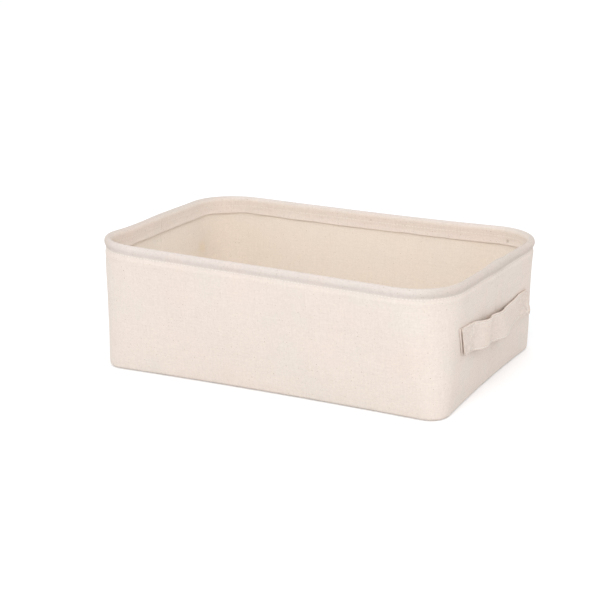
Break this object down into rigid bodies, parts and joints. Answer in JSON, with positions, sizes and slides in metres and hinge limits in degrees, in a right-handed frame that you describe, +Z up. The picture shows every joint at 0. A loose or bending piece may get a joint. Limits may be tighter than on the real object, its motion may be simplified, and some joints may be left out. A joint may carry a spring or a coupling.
{
  "type": "fabric storage bin",
  "caption": "Open rectangular storage bin of lined natural canvas with a wire-stiffened rim, a strap handle on each short side and a lift-out base board.",
  "frame": {"origin": "middle of the underside, on the surface the bin stands on", "axes": "+X along the long side towards the right-hand handle, +Y to the back long side, +Z up"},
  "size_m": [0.39, 0.25, 0.12],
  "materials": {
    "canvas": "unbleached cotton canvas, matt plain weave with dark seed flecks",
    "lining": "unbleached cotton, matt, a little warmer than the outside",
    "strap": "folded canvas strap, matt",
    "thread": "natural cotton thread",
    "wire": "drawn steel wire",
    "sleeve": "crimped aluminium tube",
    "stiffener": "thin natural plastic sheet",
    "board": "rigid sheet"
  },
  "bodies": {
    "bin": {"front_panel": "canvas", "back_panel": "canvas", "base_panel": "canvas", "rim_wire": "wire", "rim_wire_sleeve": "sleeve", "rim_topstitch": "thread", "rim_understitch": "thread", "front_stiffener": "stiffener", "back_stiffener": "stiffener", "right_stiffener": "stiffener", "left_stiffener": "stiffener", "front_lining": "lining", "back_lining": "lining", "base_lining": "lining", "right_handle_front_tab": "strap", "right_handle_back_tab": "strap", "right_front_box_stitches": "thread", "right_back_box_stitches": "thread", "left_handle_front_tab": "strap", "left_handle_back_tab": "strap", "left_front_box_stitches": "thread", "left_back_box_stitches": "thread"},
    "base_insert": {"base_board": "board", "base_board_cover": "lining"},
    "right_handle": {"right_handle_grip": "strap", "right_grip_upper_stitches": "thread", "right_grip_lower_stitches": "thread"},
    "left_handle": {"left_handle_grip": "strap", "left_grip_upper_stitches": "thread", "left_grip_lower_stitches": "thread"}
  },
  "joints": [
    {"name": "right_handle_lift", "type": "hinge", "parent": "bin", "child": "right_handle", "pos_m": [0.18306, 0.00098, 0.07393], "axis": [0.0036, -0.9976, 0.0697], "range_deg": [0, 65]},
    {"name": "left_handle_lift", "type": "hinge", "parent": "bin", "child": "left_handle", "pos_m": [-0.18306, 0.00098, 0.07393], "axis": [0.0036, 0.9976, -0.0697], "range_deg": [0, 65]},
    {"name": "base_board_lift", "type": "slide", "parent": "bin", "child": "base_insert", "axis": [0, 0, 1], "range_m": [0, 0.15]}
  ]
}
